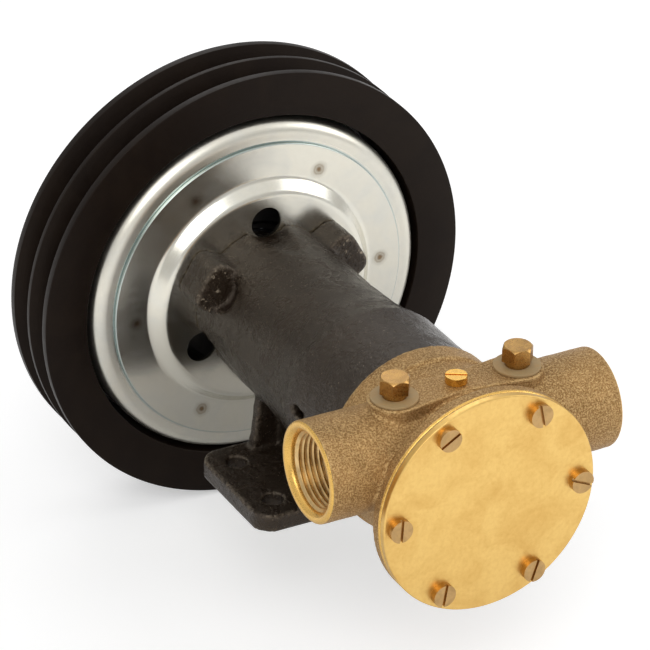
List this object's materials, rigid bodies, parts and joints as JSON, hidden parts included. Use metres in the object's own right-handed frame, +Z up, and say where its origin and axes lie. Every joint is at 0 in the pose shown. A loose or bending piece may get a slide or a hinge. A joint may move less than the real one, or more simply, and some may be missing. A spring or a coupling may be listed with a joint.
{
  "type": "flexible impeller pump",
  "caption": "Foot-mounted self-priming flexible impeller pump with two side-by-side threaded ports, driven by V-belts through an electromagnetic clutch pulley.",
  "frame": {"origin": "centre of the four foot bolt holes, in the plane of the foot's mounting face", "axes": "+Z up from the mounting face, +Y along the shaft from the end cover towards the pulley, +X along the port tube"},
  "size_m": [0.1996, 0.2578, 0.1996],
  "materials": {
    "cover_brass": "bright rolled brass plate, faintly stained",
    "screw_brass": "turned brass, dulled on top",
    "bright_brass": "turned brass, shiny",
    "plug_brass": "dulled brass bar",
    "body_bronze": "sand-cast bronze, grainy",
    "washer_fibre": "grey-green sealing washer, dull",
    "gasket_paper": "gasket paper",
    "rubber": "moulded rubber, matt",
    "seal_ceramic": "lapped ceramic",
    "seal_carbon": "carbon and pressed steel",
    "spring_steel": "spring steel",
    "steel": "turned steel",
    "plated_steel": "zinc plate, bright with a faint blue cast",
    "black_casting": "black semi-gloss paint over rough cast iron",
    "bearing_steel": "ground bearing steel",
    "cage_brass": "pressed cage",
    "coil_copper": "enamelled copper wire, wound",
    "potting": "cast resin",
    "pulley_black": "satin brown-black paint",
    "rotor_steel": "machined steel, darkened"
  },
  "bodies": {
    "housing": {"end_cover": "cover_brass", "cover_gasket": "gasket_paper", "cover_screws": "screw_brass", "pump_body": "body_bronze", "cam": "bright_brass", "cam_screw": "bright_brass", "wear_plate": "steel", "wear_plate_pin": "steel", "port_plugs": "plug_brass", "plug_washers": "washer_fibre", "seal_seat": "seal_ceramic", "seal_seat_cup": "rubber", "joint_gasket": "gasket_paper", "body_screws": "steel", "bearing_housing": "black_casting", "oil_seal": "rubber", "bearing_circlip": "spring_steel", "front_bearing_outer": "bearing_steel", "rear_bearing_outer": "bearing_steel", "coil_mounting_plate": "plated_steel", "coil_housing": "plated_steel", "coil_winding": "coil_copper", "coil_potting": "potting", "lead_grommet": "rubber", "clutch_bolts": "plated_steel", "pulley_bearing_inner": "bearing_steel", "nose_circlip": "spring_steel"},
    "shaft": {"drive_shaft": "steel", "impeller_rubber": "rubber", "impeller_insert": "bright_brass", "impeller_key": "steel", "seal_head": "seal_carbon", "seal_spring": "spring_steel", "spring_washer": "spring_steel", "slinger": "rubber", "shaft_circlip": "spring_steel", "front_bearing_inner": "bearing_steel", "rear_bearing_inner": "bearing_steel", "bearing_spacer": "steel", "armature_springs": "spring_steel", "hub_rivets": "steel", "clutch_hub": "steel", "hub_key": "steel", "hub_washer": "plated_steel", "hub_bolt": "plated_steel"},
    "armature": {"armature_plate": "rotor_steel", "armature_rivets": "steel"},
    "pulley": {"pulley_rim": "pulley_black", "clutch_rotor": "rotor_steel", "pulley_bearing_outer": "bearing_steel", "rotor_circlip": "spring_steel"},
    "shaft_ball_sets": {"front_bearing_balls": "bearing_steel", "front_bearing_cage": "cage_brass", "rear_bearing_balls": "bearing_steel", "rear_bearing_cage": "cage_brass"},
    "pulley_ball_sets": {"pulley_bearing_balls": "bearing_steel", "pulley_bearing_cages": "rotor_steel"}
  },
  "joints": [
    {"name": "shaft_spin", "type": "hinge", "parent": "housing", "child": "shaft", "pos_m": [0, 0, 0.053], "axis": [0, 1, 0], "continuous": true, "deforming": ["impeller_rubber"]},
    {"name": "pulley_spin", "type": "hinge", "parent": "housing", "child": "pulley", "pos_m": [0, 0, 0.053], "axis": [0, 1, 0], "continuous": true},
    {"name": "armature_slide", "type": "slide", "parent": "shaft", "child": "armature", "axis": [0, -1, 0], "range_m": [0, 0.0005], "stiffness_N_per_m": 16000, "deforming": ["armature_springs"]},
    {"name": "shaft_ball_orbit", "type": "hinge", "parent": "housing", "child": "shaft_ball_sets", "pos_m": [0, 0, 0.053], "axis": [0, 1, 0], "continuous": true},
    {"name": "pulley_ball_orbit", "type": "hinge", "parent": "housing", "child": "pulley_ball_sets", "pos_m": [0, 0, 0.053], "axis": [0, 1, 0], "continuous": true}
  ],
  "couplings": [
    {"joint": "shaft_ball_orbit", "follows": "shaft_spin", "ratio": 0.38421},
    {"joint": "pulley_ball_orbit", "follows": "pulley_spin", "ratio": 0.56275}
  ]
}
